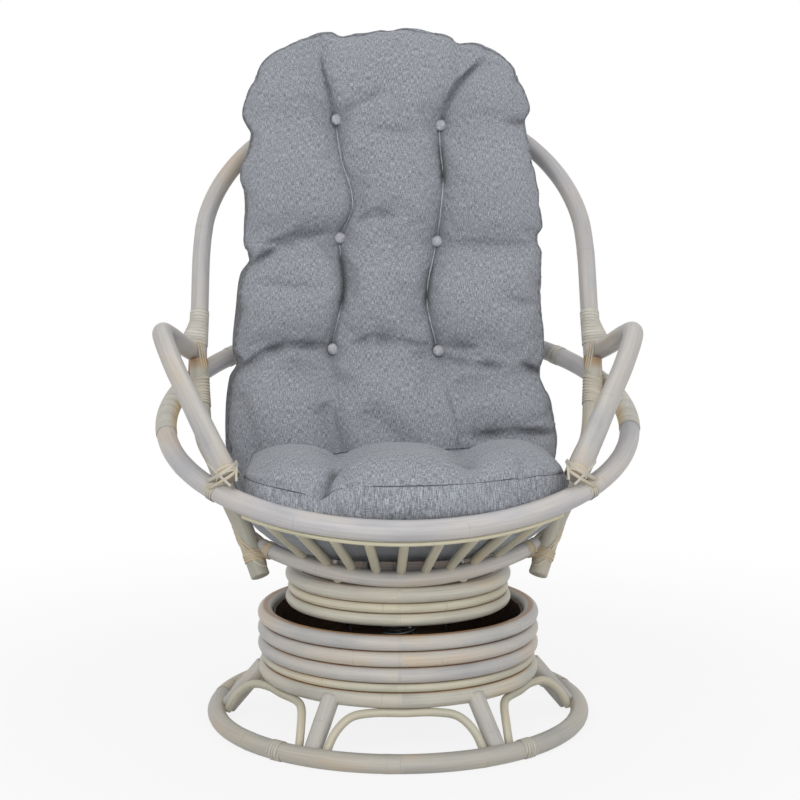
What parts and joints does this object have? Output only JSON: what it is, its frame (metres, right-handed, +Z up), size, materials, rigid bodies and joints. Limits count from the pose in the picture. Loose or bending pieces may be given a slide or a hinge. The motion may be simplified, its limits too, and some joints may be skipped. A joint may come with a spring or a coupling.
{
  "type": "swivel rocking chair",
  "caption": "Rattan swivel rocking chair: a round drum base, a seat hoop that turns and rocks on it, a tall bent back hoop, bent arms and a long tufted grey cushion.",
  "frame": {"origin": "middle of the chair's footprint box on the floor", "axes": "+Z up, the front of the chair faces -Y, +X is to the right of someone who looks at the chair's front"},
  "size_m": [0.725, 0.738, 1.068],
  "materials": {
    "rattan": "satin",
    "cane": "satin",
    "fabric": "matte",
    "plywood": "matte",
    "black_steel": "satin",
    "zinc_steel": "satin"
  },
  "bodies": {
    "base": {"floor_ring": "rattan", "leg_1": "rattan", "leg_2": "rattan", "leg_3": "rattan", "leg_4": "rattan", "leg_5": "rattan", "leg_6": "rattan", "bow_1": "rattan", "bow_2": "rattan", "bow_3": "rattan", "bow_4": "rattan", "bow_5": "rattan", "bow_6": "rattan", "drum_ring_1": "rattan", "drum_ring_2": "rattan", "drum_ring_3": "rattan", "drum_ring_4": "rattan", "drum_ring_5": "rattan", "drum_floor": "plywood", "drum_liner": "plywood", "mechanism_plate": "black_steel", "bearing_ring": "zinc_steel"},
    "swivel": {"swivel_yoke": "black_steel", "pivot_shaft": "zinc_steel", "rocker_spring_front": "zinc_steel", "rocker_spring_back": "zinc_steel"},
    "seat": {"rocker_frame": "black_steel", "seat_board": "plywood", "seat_drum_ring_1": "rattan", "seat_drum_ring_2": "rattan", "seat_drum_ring_3": "rattan", "deck_board": "plywood", "seat_hoop": "rattan", "front_rail": "rattan", "spindle_cage": "rattan", "back_hoop": "rattan", "post_right": "rattan", "post_left": "rattan", "arm_right": "rattan", "arm_left": "rattan", "back_rib_1": "rattan", "back_rib_2": "rattan", "back_rib_3": "rattan", "back_rib_4": "rattan", "back_rib_5": "rattan", "arm_binding_right": "cane", "arm_binding_left": "cane", "back_binding_right": "cane", "back_binding_left": "cane", "post_binding_right": "cane", "post_binding_left": "cane", "seat_cushion": "fabric", "back_cushion": "fabric"}
  },
  "joints": [
    {"name": "seat_swivel", "type": "hinge", "parent": "base", "child": "swivel", "pos_m": [0, -0.0263, 0.093], "axis": [0, 0, 1], "continuous": true},
    {"name": "seat_rock", "type": "hinge", "parent": "swivel", "child": "seat", "pos_m": [0, -0.0263, 0.15], "axis": [1, 0, 0], "range_deg": [-12, 8], "stiffness_Nm_per_rad": 450, "springref_deg": 2.69, "deforming": ["rocker_spring_front", "rocker_spring_back"]}
  ]
}
